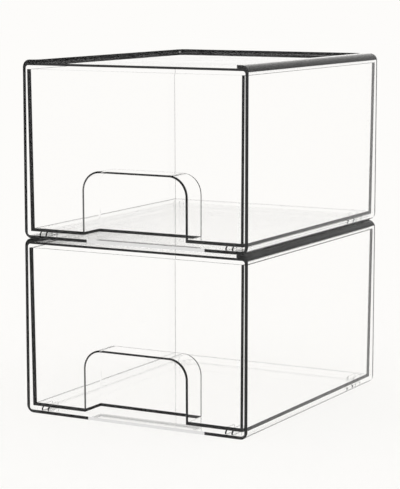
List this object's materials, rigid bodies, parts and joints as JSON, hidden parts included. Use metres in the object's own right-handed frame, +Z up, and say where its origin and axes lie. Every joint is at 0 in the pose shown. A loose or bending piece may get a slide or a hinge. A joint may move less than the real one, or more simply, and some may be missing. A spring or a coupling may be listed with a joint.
{
  "type": "stackable drawer box",
  "caption": "Stack of clear plastic drawer boxes: open-fronted rounded casings with a raised top rim, each holding a slide-out tray with an arched finger recess in its front.",
  "frame": {"origin": "middle of the lower casing's underside, at the height of the surface it stands on", "axes": "+Z up, +X to the right as seen from the front, the open front and the drawers' pull direction towards -Y"},
  "size_m": [0.162, 0.1954, 0.2296],
  "materials": {
    "clear_casing": "polished clear polystyrene",
    "clear_drawer": "polished clear polystyrene"
  },
  "bodies": {
    "lower_casing": {"lower_casing": "clear_casing"},
    "lower_drawer": {"lower_drawer": "clear_drawer"},
    "upper_casing": {"upper_casing": "clear_casing"},
    "upper_drawer": {"upper_drawer": "clear_drawer"}
  },
  "joints": [
    {"name": "lower_drawer_slide", "type": "slide", "parent": "lower_casing", "child": "lower_drawer", "axis": [0, -1, 0], "range_m": [0, 0.155]},
    {"name": "upper_casing_lift", "type": "slide", "parent": "lower_casing", "child": "upper_casing", "axis": [0, 0, 1], "range_m": [0, 0.12]},
    {"name": "upper_drawer_slide", "type": "slide", "parent": "upper_casing", "child": "upper_drawer", "axis": [0, -1, 0], "range_m": [0, 0.155]}
  ]
}
